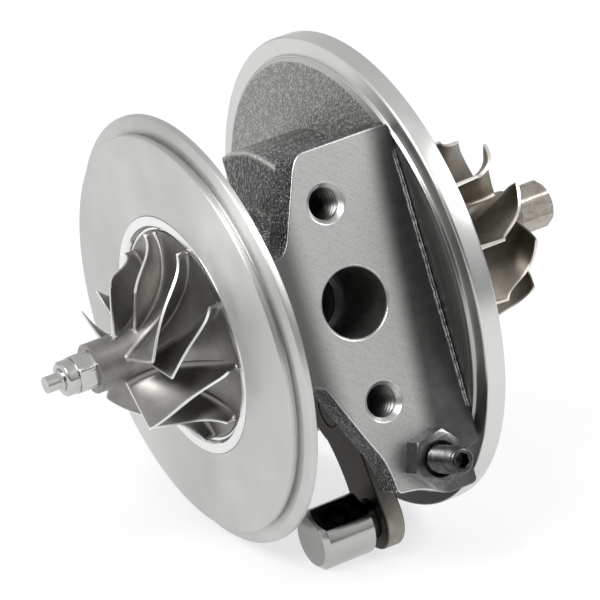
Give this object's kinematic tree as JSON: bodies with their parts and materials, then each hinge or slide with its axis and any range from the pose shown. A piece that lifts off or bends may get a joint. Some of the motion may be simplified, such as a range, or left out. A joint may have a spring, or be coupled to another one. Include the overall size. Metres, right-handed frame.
{
  "type": "turbocharger cartridge",
  "caption": "Turbocharger core with a compressor wheel and a turbine wheel on one shaft, a cast bearing housing between two discs, and a swinging vane lever.",
  "frame": {"origin": "centre of the compressor disc's front face, on the rotor axis", "axes": "+X along the rotor axis from the compressor wheel to the turbine wheel, -Y out of the oil drain face, +Z along the line of the two drain flange threads, with the vane lever hanging towards -Z"},
  "size_m": [0.1246, 0.106, 0.1092],
  "materials": {
    "cast_housing": "machined grey cast iron, as cast on the core",
    "turned_insert": "fine turned",
    "seal_rubber": "moulded",
    "pressed_steel": "pressed sheet",
    "bearing_bronze": "turned bronze",
    "spring_steel": "ground",
    "ground_steel": "ground",
    "dark_steel": "phosphated",
    "wheel_aluminium": "cast and blasted",
    "cast_superalloy": "investment cast",
    "sintered_lever": "sintered, dull"
  },
  "bodies": {
    "housing": {"bearing_housing": "cast_housing", "drain_flange": "cast_housing", "turbine_flange": "cast_housing", "compressor_disc": "cast_housing", "compressor_insert": "turned_insert", "insert_o_ring": "seal_rubber", "oil_deflector": "pressed_steel", "thrust_bearing": "bearing_bronze", "bearing_snap_rings": "spring_steel", "compressor_piston_ring": "spring_steel", "turbine_piston_ring": "spring_steel", "heat_shield": "pressed_steel", "locating_dowel": "ground_steel", "stop_screw": "dark_steel", "stop_screw_nut": "dark_steel", "lever_bush": "ground_steel"},
    "front_bearing": {"front_journal_bearing": "bearing_bronze"},
    "rear_bearing": {"rear_journal_bearing": "bearing_bronze"},
    "rotor": {"rotor_shaft": "ground_steel", "thrust_collar": "ground_steel", "oil_flinger": "ground_steel", "compressor_wheel": "wheel_aluminium", "compressor_nut": "ground_steel", "turbine_wheel": "cast_superalloy"},
    "lever": {"vane_lever": "sintered_lever", "lever_pin": "ground_steel", "lever_shaft": "ground_steel", "vane_crank": "sintered_lever"}
  },
  "joints": [
    {"name": "front_bearing_spin", "type": "hinge", "parent": "housing", "child": "front_bearing", "pos_m": [0.02175, 0, 0], "axis": [1, 0, 0], "continuous": true},
    {"name": "rear_bearing_spin", "type": "hinge", "parent": "housing", "child": "rear_bearing", "pos_m": [0.03945, 0, 0], "axis": [1, 0, 0], "continuous": true},
    {"name": "rotor_spin", "type": "hinge", "parent": "housing", "child": "rotor", "pos_m": [0.03, 0, 0], "axis": [1, 0, 0], "continuous": true},
    {"name": "lever_swing", "type": "hinge", "parent": "housing", "child": "lever", "pos_m": [0.0265, -0.007, -0.025], "axis": [1, 0, 0], "range_deg": [-15, 44]}
  ]
}
